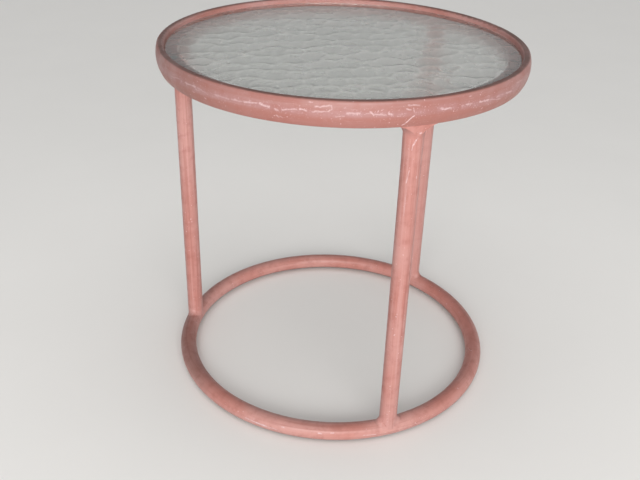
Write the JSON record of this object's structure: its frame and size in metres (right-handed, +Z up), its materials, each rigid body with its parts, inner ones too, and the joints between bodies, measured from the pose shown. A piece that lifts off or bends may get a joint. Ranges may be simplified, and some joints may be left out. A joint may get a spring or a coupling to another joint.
{
  "type": "round patio side table",
  "caption": "Round patio side table: upright tube legs between a ground ring and a rolled top hoop that holds a drop-in patterned glass panel.",
  "frame": {"origin": "the table's axis at the level it stands on", "axes": "+Z up along the table's axis; -Y towards the front leg; the two rear legs at +X +Y and -X +Y"},
  "size_m": [0.4572, 0.4573, 0.457],
  "materials": {
    "coral_coat": "satin",
    "bare_joiner": "satin",
    "clear_pad": "gloss",
    "patterned_glass": "gloss"
  },
  "bodies": {
    "frame": {"top_hoop": "coral_coat", "hoop_seam_weld": "coral_coat", "hoop_splice_key": "bare_joiner", "leg_front": "coral_coat", "leg_right_rear": "coral_coat", "leg_left_rear": "coral_coat", "leg_front_top_weld": "coral_coat", "leg_right_rear_top_weld": "coral_coat", "leg_left_rear_top_weld": "coral_coat", "leg_front_foot_weld": "coral_coat", "leg_right_rear_foot_weld": "coral_coat", "leg_left_rear_foot_weld": "coral_coat", "base_ring_tube": "coral_coat", "base_ring_seam_weld": "coral_coat", "base_ring_splice_sleeve": "bare_joiner", "glass_rest_pads": "clear_pad"},
    "glass": {"glass_panel": "patterned_glass"}
  },
  "joints": [
    {"name": "glass_lift", "type": "slide", "parent": "frame", "child": "glass", "axis": [0, 0, 1], "range_m": [0, 0.1]}
  ]
}
